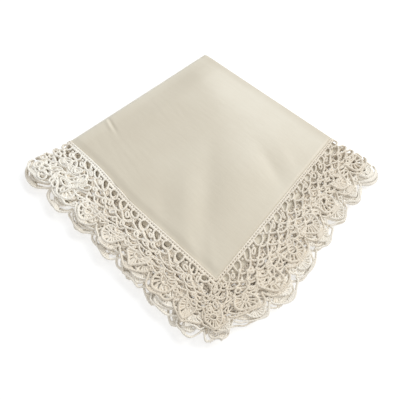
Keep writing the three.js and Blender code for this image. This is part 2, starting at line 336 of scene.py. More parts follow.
# %% [markdown]
# ## The linen's finish
# Fine plain-weave linen has a soft sheen once it is ironed, with threads a third of a
# millimetre apart and an occasional thicker thread, a slub, along either way of the
# weave. The pattern reads the flat places that each mesh keeps, so it follows the cloth
# round both folds. A painted highlight lightens a strip along the sharp fold, and a
# painted shade darkens one along the soft fold, where the cloth rolls away.

# %% Linen material
LINEN_DARKER = (0.0, (0.576, 0.511, 0.401))
LINEN_LIGHTER = (0.88, (0.725, 0.674, 0.563))
LINEN_TONE = dict(cloudy=0.56, slubs=0.176, weave=0.064, pressed=0.44, painted_shade=0.6)
LINEN_RELIEF = dict(weave=0.25, slubs=0.45, crumples=2.6)
LINEN_BUMP = dict(Strength=0.22, Distance=0.2 * MM)
LINEN_SHEEN = dict(Sheen_Weight=0.25, Sheen_Roughness=0.5, Specular_IOR_Level=0.5)
LINEN_ROUGHNESS = 0.48
SLUB_GLOSS = 0.04
THREADS_PER_METRE = 2900
CLOUD_SCALE = 28.0
SLUBS_ALONG_U = (60, 1700, 1)
SLUBS_ALONG_V = (1700, 60, 1)
CRUMPLES = (320, 95, 1)
# Painted highlight: a strip along the sharp fold is painted lighter.
FOLD_HIGHLIGHT_STRIP = 10 * MM
# Painted shade: a strip along the soft fold, where the cloth rolls away, is painted darker.
FOLD_SHADE_STRIP = 9 * MM


def threads_across(place):
    """A wave that rises once for each thread."""
    return (place * (2 * math.pi * THREADS_PER_METRE)).math("SINE")


def strip_along_fold(place, width):
    """1 on a fold line, falling to 0 at the strip's width from it."""
    return (1 - place.math("ABSOLUTE") * (1 / width)).math("MAXIMUM", 0)


def linen_finish():
    finish = Finish("ivory_linen_weave")
    flat, u, v = finish.flat_place()

    def stretched_noise(scale):
        place = finish.node("ShaderNodeMapping", Vector=flat, Scale=scale)
        return finish.noise(place, 1.0, 3.0, Roughness=0.6)

    weave = threads_across(u) * threads_across(v) * 0.5 + 0.5
    slubs = stretched_noise(SLUBS_ALONG_U) + stretched_noise(SLUBS_ALONG_V)
    tone = (
        finish.noise(flat, CLOUD_SCALE, 3.0) * LINEN_TONE["cloudy"]
        + slubs * LINEN_TONE["slubs"]
        + weave * LINEN_TONE["weave"]
        # painted highlight along the sharp fold
        + strip_along_fold(v, FOLD_HIGHLIGHT_STRIP) * LINEN_TONE["pressed"]
        # painted shade along the soft fold
        - strip_along_fold(u, FOLD_SHADE_STRIP) * LINEN_TONE["painted_shade"]
    )
    relief = (
        weave * LINEN_RELIEF["weave"]
        + slubs * LINEN_RELIEF["slubs"]
        + stretched_noise(CRUMPLES) * LINEN_RELIEF["crumples"]
    )
    finish.set(
        Base_Color=finish.between(tone, LINEN_DARKER, LINEN_LIGHTER),
        Roughness=LINEN_ROUGHNESS - slubs * SLUB_GLOSS,
        Normal=finish.node("ShaderNodeBump", Height=relief, **LINEN_BUMP),
        **LINEN_SHEEN,
    )
    return finish.material


LINEN = linen_finish()
print("made", LINEN.name)

# %% [markdown]
# ## The linen ground
# The ground is one grid of quads, finer on the top layer and where the folds bend it.
# Its rows and columns are moved to their places, and Solidify gives it the thickness of
# real linen. The small creases are a lift of the flat cloth.

# %% Places of the grid's rows and columns
LINEN_THICKNESS = 0.32 * MM
TOP_STEP = 0.8 * MM
UNDER_STEP = 2.2 * MM
BEND_STEPS = 10


def grid_places(under, top, bend):
    flat_under = np.linspace(-under, -bend, round((under - bend) / UNDER_STEP) + 1)
    flat_top = np.linspace(bend, top, round((top - bend) / TOP_STEP) + 1)
    bent = np.linspace(-bend, bend, BEND_STEPS + 1)[1:-1]
    return np.concatenate([flat_under, bent, flat_top])


COLUMNS = grid_places(U_UNDER, U_TOP, SECOND_BEND)
ROWS = grid_places(V_UNDER, V_TOP, FIRST_BEND)
print(f"linen grid {len(COLUMNS)} by {len(ROWS)}")

# %% [markdown]
# ## Creases
# The creases of the top layer are long soft humps, in millimetres from the seam corner
# that is nearest the lace. The cloth is highest on a line down from the corner where the
# folds meet, and falls softly to the puffed second fold. Softer folds spread from the
# lace corner, and a small pinched pleat and some fine wrinkles lie near the sharp fold.

# %% Creases of the top layer
PUFF = dict(rise=2.4, foot=32, far=88, past=6, crest=46, crest_slant=0.42)
FOLD_LIP = dict(rise=0.25, start=92, end=106)
SEAM_ROLL = dict(rise=0.8, reach=5)
CREASES = (
    dict(x=24.5, y=28, heading=41, length=28, width=5.0, rise=-0.65),
    dict(x=14.5, y=34, heading=46, length=22, width=4.5, rise=0.25),
    dict(x=8, y=42, heading=47, length=14, width=4.0, rise=-0.25),
    dict(x=9, y=11, heading=48, length=11, width=2.2, rise=0.2),
    dict(x=6, y=17, heading=60, length=10, width=2.4, rise=-0.18),
    dict(x=66, y=16, heading=67, length=12, width=3.6, rise=-0.38),
    dict(x=76, y=13, heading=62, length=12, width=4.0, rise=0.26),
    dict(x=87, y=97, heading=88, length=15, width=11, rise=0.25),
    dict(x=36, y=98, heading=176, length=36, width=5.0, rise=-0.15),
    dict(x=23.4, y=102.5, heading=74, length=6.0, width=0.8, rise=-0.75),
    dict(x=21.9, y=102.9, heading=74, length=6.0, width=0.8, rise=0.5),
    dict(x=7.6, y=42.4, heading=129, length=5, width=1.2, rise=0.12),
    dict(x=2.5, y=15, heading=84, length=5, width=0.8, rise=0.15),
)
WRINKLES = dict(
    count=26,
    seed=11,
    x=(4, 62),
    y=(74, 104),
    mean_heading=78,
    heading_spread=5,
    length=(5, 14),
    width=(0.7, 1.4),
    rise=(0.02, 0.05),
)


def fine_wrinkles():
    """Fine wrinkles that run away from the sharp fold, sown with a fixed seed."""
    sown = np.random.default_rng(WRINKLES["seed"])
    for _ in range(WRINKLES["count"]):
        yield dict(
            x=sown.uniform(*WRINKLES["x"]),
            y=sown.uniform(*WRINKLES["y"]),
            heading=sown.normal(WRINKLES["mean_heading"], WRINKLES["heading_spread"]),
            length=sown.uniform(*WRINKLES["length"]),
            width=sown.uniform(*WRINKLES["width"]),
            rise=sown.uniform(*WRINKLES["rise"]) * sown.choice((-1, 1)),
        )


ALL_CREASES = CREASES + tuple(fine_wrinkles())
print("creases and wrinkles:", len(ALL_CREASES))

# %% [markdown]
# ## How far each layer is lifted
# Creases belong to the top layer alone and fade out before its folds and seams. The
# solids keep air between their layers. Real cloth has almost none at its open edges, so
# near its seam each lower layer is brought up towards the layer above it.

# %% Lift of the flat cloth
CLOSER = {(1, 1): 0, (1, -1): 0.9 * MM, (-1, -1): 1.3 * MM, (-1, 1): 0.8 * MM}
CLOSER_BESIDE_SEAM = (9 * MM, 2 * MM)
CLOSER_PAST_FOLD = (4 * MM, 14 * MM)
CREASED_PAST_SECOND_FOLD = (0, 4 * MM)
CREASED_PAST_FIRST_FOLD = (0.8 * MM, 3 * MM)
CREASED_PAST_SEAM = (-0.5 * MM, 2 * MM)


def rest_on_top(u, v):
    lift = 0
    for (u_sign, v_sign), closer in CLOSER.items():
        edge_u = (U_TOP if u_sign > 0 else U_UNDER) - u_sign * u
        edge_v = (V_TOP if v_sign > 0 else V_UNDER) - v_sign * v
        beside = smooth_step(*CLOSER_BESIDE_SEAM, np.minimum(edge_u, edge_v))
        past_second = smooth_step(*CLOSER_PAST_FOLD, u_sign * u)
        past_first = smooth_step(*CLOSER_PAST_FOLD, v_sign * v)
        lift = lift + closer * u_sign * v_sign * beside * (past_second * past_first)
    return lift


def puffed(x, y):
    """The puff along the second fold, 1 on its crest, which slants across the cloth."""
    crest = PUFF["crest"] * MM + PUFF["crest_slant"] * y
    across = smooth_step(0, crest, x) * smooth_step(TOP_X + PUFF["past"] * MM, crest, x)
    foot = smooth_step(0, PUFF["foot"] * MM, y)
    return across * foot * smooth_step(TOP_Y, PUFF["far"] * MM, y)


def crease_lift(u, v):
    """How far each layer rises from its middle surface at flat places."""
    x = U_TOP - u
    y = V_TOP - v
    lift = sum(hump(x, y, crease) for crease in ALL_CREASES)
    lip = smooth_step(FOLD_LIP["start"] * MM, FOLD_LIP["end"] * MM, y)
    lift = lift + PUFF["rise"] * puffed(x, y) + FOLD_LIP["rise"] * lip
    lift = lift + SEAM_ROLL["rise"] * smooth_step(0, SEAM_ROLL["reach"] * MM, x)
    past_second = smooth_step(*CREASED_PAST_SECOND_FOLD, u)
    past_first = smooth_step(*CREASED_PAST_FIRST_FOLD, v)
    past_seam = smooth_step(*CREASED_PAST_SEAM, np.minimum(x, y))
    return lift * MM * (past_second * past_first) * past_seam + rest_on_top(u, v)


middle_lift = float(crease_lift(U_TOP / 2, V_TOP / 2))
print("lift of the top's middle, mm:", round(middle_lift / MM, 2))


# %% Make the linen
def linen_ground():
    bpy.ops.mesh.primitive_grid_add(
        x_subdivisions=len(COLUMNS) - 1, y_subdivisions=len(ROWS) - 1, size=1
    )
    linen = bpy.context.object
    linen.name = "linen_cloth"
    mesh = linen.data
    v, u = np.meshgrid(ROWS, COLUMNS, indexing="ij")
    places = np.column_stack([u.ravel(), v.ravel(), np.zeros(u.size)])
    mesh.vertices.foreach_set("co", places.ravel())
    fold_mesh(mesh, crease_lift)
    solidify = linen.modifiers.new("cloth thickness", "SOLIDIFY")
    solidify.thickness = LINEN_THICKNESS
    solidify.offset = 0
    bpy.ops.object.modifier_apply(modifier=solidify.name)
    bpy.ops.object.shade_smooth()
    mesh.materials.clear()
    mesh.materials.append(LINEN)
    return linen


bpy.ops.object.select_all(action="DESELECT")
LINEN_CLOTH = linen_ground()
print("linen faces:", len(LINEN_CLOTH.data.polygons))

# %% [markdown]
# ## Where a stitch lies
# The edging runs round the linen in one ring. It is drawn a quarter at a time, from one
# fold round a corner to the next. A stitch's place is a distance t along the seam, 0
# where the corner starts, and a depth d away from it. Hand crochet wanders a little, so
# smooth seeded waves shift each place, the same for all the threads that meet there.
# The middle rounds of the net are also dragged along the seam, towards their corner.

# %% Waves that the crochet wanders by
MESH_PITCH = 7.9 * MM
SCALLOP_PITCH = 17.3 * MM
CORNER = 2 * MESH_PITCH
WAVE_COUNT = 16
WAVE_RADIANS_PER_METRE = 750
dice = np.random.default_rng(7)
WAVES = dice.uniform(-1, 1, size=(WAVE_COUNT, 2))
WAVE_PHASES = dice.uniform(0, 2 * math.pi, size=(WAVE_COUNT, 3))


def wander(u, v, kind):
    total = 0
    for (along, across), phases in zip(WAVES, WAVE_PHASES):
        turn = (u * along + v * across) * WAVE_RADIANS_PER_METRE
        total = total + np.sin(turn + phases[kind])
    return total / math.sqrt(WAVE_COUNT)


print("wander at the seam corner:", round(float(wander(U_TOP, V_TOP, 0)), 3))

# %% Places along the seam
WANDER = dict(aside=0.75 * MM, up=0.2 * MM, whole_by=(1.5 * MM, 9 * MM))
DRAG = dict(
    most=3.5 * MM,
    past_ends=(0, 16 * MM),
    net_starts=(1.9 * MM, 9 * MM),
    net_ends=(18 * MM, 12 * MM),
)
CLOSER_PAST_HEADING = (1 * MM, 4 * MM)
CALM_END = SECOND_BEND + 2 * MM
FREE_START = 4 * CALM_END


class Quarter:
    """One quarter of the edging: its two seams, its corner and which way they face."""

    def __init__(self, u_sign, v_sign):
        self.u_sign = u_sign
        self.v_sign = v_sign
        self.outermost = u_sign > 0 and v_sign > 0
        self.u = U_TOP if u_sign > 0 else U_UNDER
        self.v = V_TOP if v_sign > 0 else V_UNDER
        self.start = -self.u
        self.end = CORNER + self.v
        self.cells = (round(self.u / MESH_PITCH), round(self.v / MESH_PITCH))

    def drag(self, t, d):
        """How far the net is dragged along the seam, towards its corner."""
        past_corner = smooth_step(*DRAG["past_ends"], np.maximum(-t, t - CORNER))
        past_fold = smooth_step(*DRAG["past_ends"], np.minimum(t - self.start, self.end - t))
        net = smooth_step(*DRAG["net_starts"], d) * smooth_step(*DRAG["net_ends"], d)
        towards_corner = np.where(t < CORNER / 2, 1, -1)
        return DRAG["most"] * (past_corner * past_fold) * net * towards_corner

    def place(self, t, d, height):
        """Flat points at distances along the seam and depths away from it."""
        t = t + self.drag(t, d)
        turn = np.clip(t / CORNER, 0, 1) * math.pi / 2
        u = self.u_sign * (self.u + np.minimum(t, 0) + d * np.sin(turn))
        v = self.v_sign * (self.v - np.maximum(t - CORNER, 0) + d * np.cos(turn))
        aside = WANDER["aside"] * smooth_step(*WANDER["whole_by"], d)
        closer = CLOSER[self.u_sign, self.v_sign] * self.u_sign * self.v_sign
        lift = wander(u, v, 2) * WANDER["up"] + closer * smooth_step(*CLOSER_PAST_HEADING, d)
        from_fold = np.abs(np.where(np.abs(u) > np.abs(v), v, u))
        free = smooth_step(CALM_END, FREE_START, from_fold)
        shift_u = wander(u, v, 0) * aside * free
        shift_v = wander(u, v, 1) * aside * free
        return np.column_stack([u + shift_u, v + shift_v, height + lift * free])

    def t_of(self, x, corner_cells):
        """Seam distance of cell number x, counted from the corner's start."""
        before, after = self.cells
        low = x * self.u / before
        on_corner = x * CORNER / corner_cells
        high = CORNER + (x - corner_cells) * self.v / after
        return np.where(x < 0, low, np.where(x <= corner_cells, on_corner, high))

    def cell_range(self, corner_cells):
        before, after = self.cells
        return -before, corner_cells + after


QUARTERS = [Quarter(u_sign, v_sign) for u_sign in (1, -1) for v_sign in (1, -1)]
print("cells to a seam:", [quarter.cells for quarter in QUARTERS])

# %% [markdown]
# ## Threads
# A thread is a poly curve with a round bevel. Its radius swells at even steps, which
# reads as the links of a crocheted chain. All the threads of one kind go into one curve
# object, which becomes a mesh and is folded once.

# %% Draw threads
LINK = 1.25 * MM
STEP = 0.42 * MM
LINK_WAIST = 0.8
LINK_SWELL = 0.34


def resample(points):
    """Points at even steps along a path, and how far along it each one lies."""
    steps = np.linalg.norm(np.diff(points, axis=0), axis=1)
    run = np.concatenate([[0], np.cumsum(steps)])
    count = max(2, int(round(run[-1] / STEP)) + 1)
    places = np.linspace(0, run[-1], count)
    return np.column_stack([np.interp(places, run, axis) for axis in points.T]), places


def chain(points, radius):
    """A thread of links: its points and the radius at each of them."""
    even, run = resample(points)
    links = np.abs(np.sin(math.pi * run / LINK))
    return even, radius * (LINK_WAIST + LINK_SWELL * links)


def bar(points, radii):
    """A short stitch, thicker or thinner as its radii say."""
    return points, np.asarray(radii, dtype=float)


print(f"a link is {LINK / MM} mm long")


# %% Fold threads into a piece
def crochet(name, threads):
    curve = bpy.data.curves.new(name, "CURVE")
    curve.dimensions = "3D"
    curve.bevel_depth = 1
    curve.bevel_resolution = 1
    curve.use_fill_caps = True
    curve.twist_mode = "Z_UP"
    for points, radii in threads:
        spline = curve.splines.new("POLY")
        spline.points.add(len(points) - 1)
        places = np.column_stack([points, np.ones(len(points))])
        spline.points.foreach_set("co", places.ravel())
        spline.points.foreach_set("radius", radii)
    piece = bpy.data.objects.new(name, curve)
    bpy.context.collection.objects.link(piece)
    bpy.ops.object.select_all(action="DESELECT")
    piece.select_set(True)
    bpy.context.view_layer.objects.active = piece
    bpy.ops.object.convert(target="MESH")
    piece = bpy.context.object
    fold_mesh(piece.data)
    bpy.ops.object.shade_smooth()
    piece.data.materials.clear()
    piece.data.materials.append(LACE)
    triangles = sum(len(face.vertices) - 2 for face in piece.data.polygons)
    print(f"{name}: {len(threads)} threads, {triangles} triangles")
    return piece


print("ready to crochet")

# %% [markdown]
# ## The thread's finish
# The edging is cotton crochet thread, whiter than the linen and a little shaggy. A fine
# noise gives it fibres, a coarser one the bumps of its twist, and a slow one lets some
# stretches go creamier with age. It is whitest where it is bunched up at the sharp fold
# and creamier at the lace corner and the soft fold. The lower layers are painted darker,
# as painted shade between the layers, and their rims are painted lighter. Each such
# place is a mask from 0 to 1, and its edge says how steeply the mask rises.

# %% Lace material
LACE_DARKER = (0.2, (0.80, 0.718, 0.60))
LACE_LIGHTER = (0.9, (0.94, 0.902, 0.825))
LACE_TONE = dict(fibres=0.3, aged=0.4, bunched=0.75, tip=0.4, rim_painted_light=0.3)
LACE_RELIEF = dict(fibres=0.35, twist=0.65)
LACE_BUMP = dict(Strength=0.8, Distance=0.6 * MM)
LACE_SHEEN = dict(Sheen_Weight=0.2, Sheen_Roughness=0.4, Specular_IOR_Level=0.2)
LACE_ROUGHNESS = 0.92
FIBRE_GLOSS = 0.1
FIBRE_SCALE = 2600.0
TWIST_SCALE = 900.0
AGED_SCALE = 40.0
OUTER_EDGE = 100
BUNCHED = dict(before=45 * MM, edge=30)
TIP = dict(past=185 * MM, edge=14)
# Painted light: the lower layers' rims are painted lighter, where their painted shade gives way.
RIM_PAINTED_LIGHT = dict(past_squared=0.0165, edge=600)
# Painted shade: the top layer is painted lighter than the layers beneath, whose darker tan stands for
# shade between the layers; the slope makes it whiter towards the sharp fold.
TOP_TONE_OVER_PAINTED_SHADE = dict(slope=1.5, middle=0.1)


def lace_finish():
    finish = Finish("cotton_crochet_thread")
    flat, u, v = finish.flat_place()
    fibres = finish.noise(flat, FIBRE_SCALE, 2.0)
    twist = finish.noise(flat, TWIST_SCALE, 1.0)
    aged = finish.noise(flat, AGED_SCALE, 2.0)
    outer = (u.math("MINIMUM", v) * OUTER_EDGE).clamped()
    bunched = ((BUNCHED["before"] - v) * BUNCHED["edge"]).clamped() * outer
    tip = ((u + v - TIP["past"]) * TIP["edge"]).clamped()
    reach_squared = (u * u).math("MAXIMUM", v * v)
    rim_painted_light = ((reach_squared - RIM_PAINTED_LIGHT["past_squared"]) * RIM_PAINTED_LIGHT["edge"]).clamped() * (1 - outer)
    tone = (
        fibres * LACE_TONE["fibres"]
        + aged * LACE_TONE["aged"]
        # top layer painted lighter, so the lower layers keep the painted shade
        + outer * ((u - v) * TOP_TONE_OVER_PAINTED_SHADE["slope"] + TOP_TONE_OVER_PAINTED_SHADE["middle"])
        + bunched * LACE_TONE["bunched"]
        - tip * LACE_TONE["tip"]
        # painted light on the lower layers' rims
        + rim_painted_light * LACE_TONE["rim_painted_light"]
    )
    relief = fibres * LACE_RELIEF["fibres"] + twist * LACE_RELIEF["twist"]
    finish.set(
        Base_Color=finish.between(tone, LACE_DARKER, LACE_LIGHTER),
        Roughness=LACE_ROUGHNESS - fibres * FIBRE_GLOSS,
        Normal=finish.node("ShaderNodeBump", Height=relief, **LACE_BUMP),
        **LACE_SHEEN,
    )
    return finish.material


LACE = lace_finish()
print("made", LACE.name)

# %% [markdown]
# ## The heading
# The first round is single crochet, worked over the linen's rolled hem. It has a raised
# cord on the linen's side, slanted stitches close together, and a chain on their outer
# side, with a tiny hole at every stitch.

# %% Heading stitches
HEM_CORD = dict(depth=0.25 * MM, height=0.1 * MM, radius=0.56 * MM)
HEAD_CHAIN = dict(depth=1.55 * MM, height=0.08 * MM, radius=0.5 * MM)
HEAD_STITCH = 1.58 * MM
STITCH_SLANT = np.array([-0.2, -0.05, 0.1, 0.3]) * MM
STITCH_RADII = np.array([0.5, 0.56, 0.56, 0.5]) * MM


def seam_line(quarter, d, height):
    """A line along both seams, mitred at the corner where it is close to the linen."""
    first = np.arange(quarter.start, min(d, 0), STEP)
    last = np.arange(CORNER + max(-d, 0), quarter.end, STEP)
    mitre_u = quarter.u_sign * (quarter.u + d)
    mitre_v = quarter.v_sign * (quarter.v + d)
    return np.vstack(
        [
            quarter.place(first, np.full(len(first), d), height),
            [[mitre_u, mitre_v, height]],
            quarter.place(last, np.full(len(last), d), height),
            quarter.place(np.array([quarter.end]), np.array([d]), height),
        ]
    )


def heading_threads(quarter):
    threads = [
        chain(seam_line(quarter, line["depth"], line["height"]), line["radius"])
        for line in (HEM_CORD, HEAD_CHAIN)
    ]
    across = np.linspace(HEM_CORD["depth"], HEAD_CHAIN["depth"], len(STITCH_SLANT))
    for low, high in ((quarter.start, 0), (CORNER, quarter.end)):
        for t in np.arange(low + HEAD_STITCH / 2, high, HEAD_STITCH):
            threads.append(bar(quarter.place(t + STITCH_SLANT, across, 0.0), STITCH_RADII))
    return threads


print("heading stitches to a seam:", round(U_TOP / HEAD_STITCH))

# %% [markdown]
# ## The net
# The first round of the net is a row of tall loops that stand side by side on the
# heading, with a small gap at their feet. Five rounds of chain arches follow, each
# caught on the tops of the round before, so the cells make an uneven honeycomb. A round
# is one thread whose depth rises and falls with the cell number. The loop's table gives
# a share of its cell and a depth in millimetres for each point.

# %% Round of loops
THREAD = 0.58 * MM
LOOP = np.array(
    (
        (0.28, 1.9),
        (0.20, 2.7),
        (0.17, 3.7),
        (0.22, 4.7),
        (0.35, 5.5),
        (0.50, 5.8),
        (0.65, 5.5),
        (0.78, 4.7),
        (0.83, 3.7),
        (0.80, 2.7),
        (0.72, 1.9),
    )
)
LOOP_GROWTH = (0.72, 1.15)
LOOP_WIDTH = (0.76, 1.1)
LOOP_LEAN = (-0.05, 0.05)
LOOP_HEIGHT = 0.08 * MM
LOOP_CORNER_CELLS = 2


def loop_threads(quarter):
    low, high = quarter.cell_range(LOOP_CORNER_CELLS)
    foot = LOOP[0, 1]
    x = []
    d = []
    for cell in range(low, high):
        grown = (LOOP[:, 1] - foot) * dice.uniform(*LOOP_GROWTH)
        width = dice.uniform(*LOOP_WIDTH)
        lean = dice.uniform(*LOOP_LEAN)
        x.append(cell + 0.5 + (LOOP[:, 0] - 0.5) * width + lean * grown)
        d.append((foot + grown) * MM)
    places = quarter.t_of(np.concatenate(x), LOOP_CORNER_CELLS)
    return [chain(quarter.place(places, np.concatenate(d), LOOP_HEIGHT), THREAD)]


print("a loop is drawn with", len(LOOP), "points")

# %% Rounds of arches
ROUNDS = (
    dict(foot=5.8, arch=2.7, phase=0.5, power=0.6, corner=2, height=0.0),
    dict(foot=8.4, arch=2.7, phase=0.0, power=0.6, corner=2, height=0.12),
    dict(foot=11.0, arch=2.6, phase=0.5, power=0.6, corner=3, height=0.0),
    dict(foot=13.4, arch=2.5, phase=0.0, power=0.6, corner=3, height=0.12),
    dict(foot=15.7, arch=2.5, phase=0.5, power=0.6, corner=3, height=0.0),
)
POINTS_PER_CELL = 24


def arch_round(quarter, row):
    low, high = quarter.cell_range(row["corner"])
    x = np.linspace(low, high, (high - low) * POINTS_PER_CELL + 1)
    swing = np.abs(np.sin(math.pi * (x - row["phase"]))) ** row["power"]
    d = (row["foot"] + row["arch"] * swing) * MM
    points = quarter.place(quarter.t_of(x, row["corner"]), d, row["height"] * MM)
    return chain(points, THREAD)


def net_threads(quarter):
    return [arch_round(quarter, row) for row in ROUNDS]


print("rounds of arches:", len(ROUNDS))

# %% [markdown]
# ## Picots and knots
# Where a round is caught on the one before, the stitches pile up into a knot that shows
# white against the gaps. Here and there a small picot ring hangs into a cell. At the
# sharp fold the edging is bunched up, and its loops curl over each other.

# %% Rings and knots
RING_POINTS = 15
KNOT_SPREAD = np.array([-0.8, -0.35, 0.35, 0.8])
KNOT_RADII = np.array([0.35, 0.95, 0.95, 0.35])
KNOT_SLANT = 0.4


def ring(quarter, t, d, half_t, half_d, height, radius=THREAD):
    angle = np.linspace(0, 2 * math.pi, RING_POINTS)
    points = quarter.place(t + half_t * np.sin(angle), d - half_d * np.cos(angle), height)
    return bar(points, np.full(len(points), radius))


def knot(quarter, t, d, size, height):
    spread = KNOT_SPREAD * size
    points = quarter.place(t + spread * KNOT_SLANT, d + spread, height)
    return bar(points, KNOT_RADII * size)


print("a ring is drawn with", RING_POINTS, "points")

# %% Picots at the junctions
JUNCTIONS = (
    dict(shift=0.0, depth=3.6, corner=2),
    dict(shift=0.5, depth=6.0, corner=2),
    dict(shift=0.0, depth=8.5, corner=2),
    dict(shift=0.5, depth=11.1, corner=3),
    dict(shift=0.0, depth=13.5, corner=3),
    dict(shift=0.5, depth=15.9, corner=3),
)
KNOT_SIZE = (0.7, 0.95)
KNOT_HEIGHT = 0.12 * MM
PICOT_SHARE = 0.5
PICOT_HALF = (0.8, 1.25)
PICOT_ASIDE = (-1, 1)
PICOT_DEEPER = 1.9 * MM
PICOT_HEIGHT = 0.15 * MM


def picot_threads(quarter):
    threads = []
    for row in JUNCTIONS:
        low, high = quarter.cell_range(row["corner"])
        depth = row["depth"] * MM
        for cell in range(low + 1, high):
            t = float(quarter.t_of(cell + row["shift"], row["corner"]))
            size = dice.uniform(*KNOT_SIZE) * MM
            threads.append(knot(quarter, t, depth, size, KNOT_HEIGHT))
            if dice.uniform() < PICOT_SHARE:
                half = dice.uniform(*PICOT_HALF, size=2) * MM
                side = dice.uniform(*PICOT_ASIDE) * MM
                middle = depth + PICOT_DEEPER
                threads.append(ring(quarter, t + side, middle, *half, PICOT_HEIGHT))
    return threads


print("rows of junctions:", len(JUNCTIONS))

# %% Curls at the sharp fold
CURLS = dict(count=34, back=(3, 30), depth=(7, 23), half=(1.0, 2.4), height=(0.4, 1.0))
CURL_RADIUS = 0.5 * MM


def curl_threads(quarter):
    """Loose curls that bulk out the end of the edging at the sharp fold."""
    threads = []
    for _ in range(CURLS["count"]):
        t = quarter.end - dice.uniform(*CURLS["back"]) * MM
        depth = dice.uniform(*CURLS["depth"]) * MM
        half = dice.uniform(*CURLS["half"], size=2) * MM
        height = dice.uniform(*CURLS["height"]) * MM
        threads.append(ring(quarter, t, depth, *half, height, CURL_RADIUS))
    return threads


print("curls:", CURLS["count"])

# %% [markdown]
# ## Fans
# The border is a row of fans. Each has a small ring, a thick band of double crochet
# that radiates from it, and a chain on the band's edge. No two are quite alike: each
# is shifted, turned, sized and tilted by seeded draws. Most are worked close, with many
# ribs, and some openly, with fewer spokes. The lower layers' fans are smaller. Reaches
# are in millimetres and turns of a whole fan in degrees.

# %% One fan
FAN_MIDDLE = 18.9 * MM
FAN_SPOKES = 9
FAN_RIBS = 14
FAN_EDGE = 5.7
FAN_RING = dict(reach=1.9, swell=0.3, points=21, height=0.12 * MM, radius=0.56 * MM)
FAN_CHAIN = dict(sweep=(-42, 222), points=44, height=0.1 * MM, radius=0.7 * MM)
RIBBED_SHARE = 0.65
SPOKE_START = 2.0
SPOKE_SWEEP = (-34, 214)
SPOKE_CURL = np.array([0, 0.05, 0.1, 0.14])
SPOKE_RADII = np.array([0.44, 0.52, 0.62, 0.7]) * MM
SPOKE_TURN = (-0.06, 0.06)
SPOKE_HEIGHT = (-0.1, 0.1)
FAN_SHIFT = (-0.5, 0.5)
FAN_WIDTH = (0.92, 1.06)
FAN_LEAN = (-16, 16)
FAN_SLOPE = (-0.05, 0.05)
OUTER_FAN_SIZE = (0.90, 1.05)
LOWER_FAN_SIZE = (0.8, 0.9)


def fan_threads(quarter, t0, t1):
    middle = (t0 + t1) / 2 + dice.uniform(*FAN_SHIFT) * MM
    depth = FAN_MIDDLE + dice.uniform(*FAN_SHIFT) * MM
    scale = (t1 - t0) / SCALLOP_PITCH * dice.uniform(*FAN_WIDTH)
    lean = math.radians(dice.uniform(*FAN_LEAN))
    size = dice.uniform(*(OUTER_FAN_SIZE if quarter.outermost else LOWER_FAN_SIZE))
    dice.uniform()  # One draw is skipped, which keeps all the later ones as they are.
    slope = dice.uniform(*FAN_SLOPE)

    def at(angle, reach, height):
        angle = np.asarray(angle) + lean
        across = reach * size * np.cos(angle) * scale
        out = reach * size * np.sin(angle)
        return quarter.place(middle + across, depth + out, height + slope * across)

    circle = np.linspace(0, 2 * math.pi, FAN_RING["points"])
    swell = FAN_RING["swell"] * np.sin(2 * circle + dice.uniform(0, 3))
    loop = at(circle, (FAN_RING["reach"] + swell) * MM, FAN_RING["height"])
    threads = [chain(loop, FAN_RING["radius"])]
    ribbed = dice.uniform() < RIBBED_SHARE or not quarter.outermost
    reach = np.linspace(SPOKE_START, FAN_EDGE, len(SPOKE_CURL)) * MM
    for angle in np.radians(np.linspace(*SPOKE_SWEEP, FAN_RIBS if ribbed else FAN_SPOKES)):
        turn = angle + SPOKE_CURL + dice.uniform(*SPOKE_TURN)
        threads.append(bar(at(turn, reach, dice.uniform(*SPOKE_HEIGHT) * MM), SPOKE_RADII))
    edge = np.radians(np.linspace(*FAN_CHAIN["sweep"], FAN_CHAIN["points"]))
    threads.append(chain(at(edge, FAN_EDGE * MM, FAN_CHAIN["height"]), FAN_CHAIN["radius"]))
    return threads


print(f"a fan is about {2 * FAN_EDGE} mm across")

# %% [markdown]
# ## Scallops
# Round each fan goes an outer arch of fine chain, which gives the handkerchief its
# scalloped outline. A few stitches hold it at its middle, so an opening is left on
# either side, and two more tie its ends down in the valleys. The lower layers' arches
# are rounder, and the one on each lower corner is shorter.

# %% One scallop
TOP_ARCH = dict(flatness=2.8, softness=0.55)
LOWER_ARCH = dict(flatness=2.0, softness=0.62)
LOWER_CORNER_SHORTER = 1.8 * MM
ARCH_FOOT = 19.7 * MM
ARCH_TIP = (5.9, 6.6)
ARCH_SPAN = 0.97
ARCH_POINTS = 60
ARCH_RADIUS = 0.54 * MM
HELD = dict(count=9, span=0.36, start=24.4 * MM, middle=25.0 * MM)
HELD_LEAN = np.array([0.8, 0.9, 1.0])
HELD_RADII = np.array([0.45, 0.55, 0.5]) * MM
TIE_PLACES = np.array([0.97, 0.9, 0.82])
TIE_DEPTHS = np.array([19.8, 18.6, 17.4]) * MM
TIE_RADII = np.array([0.45, 0.5, 0.45]) * MM


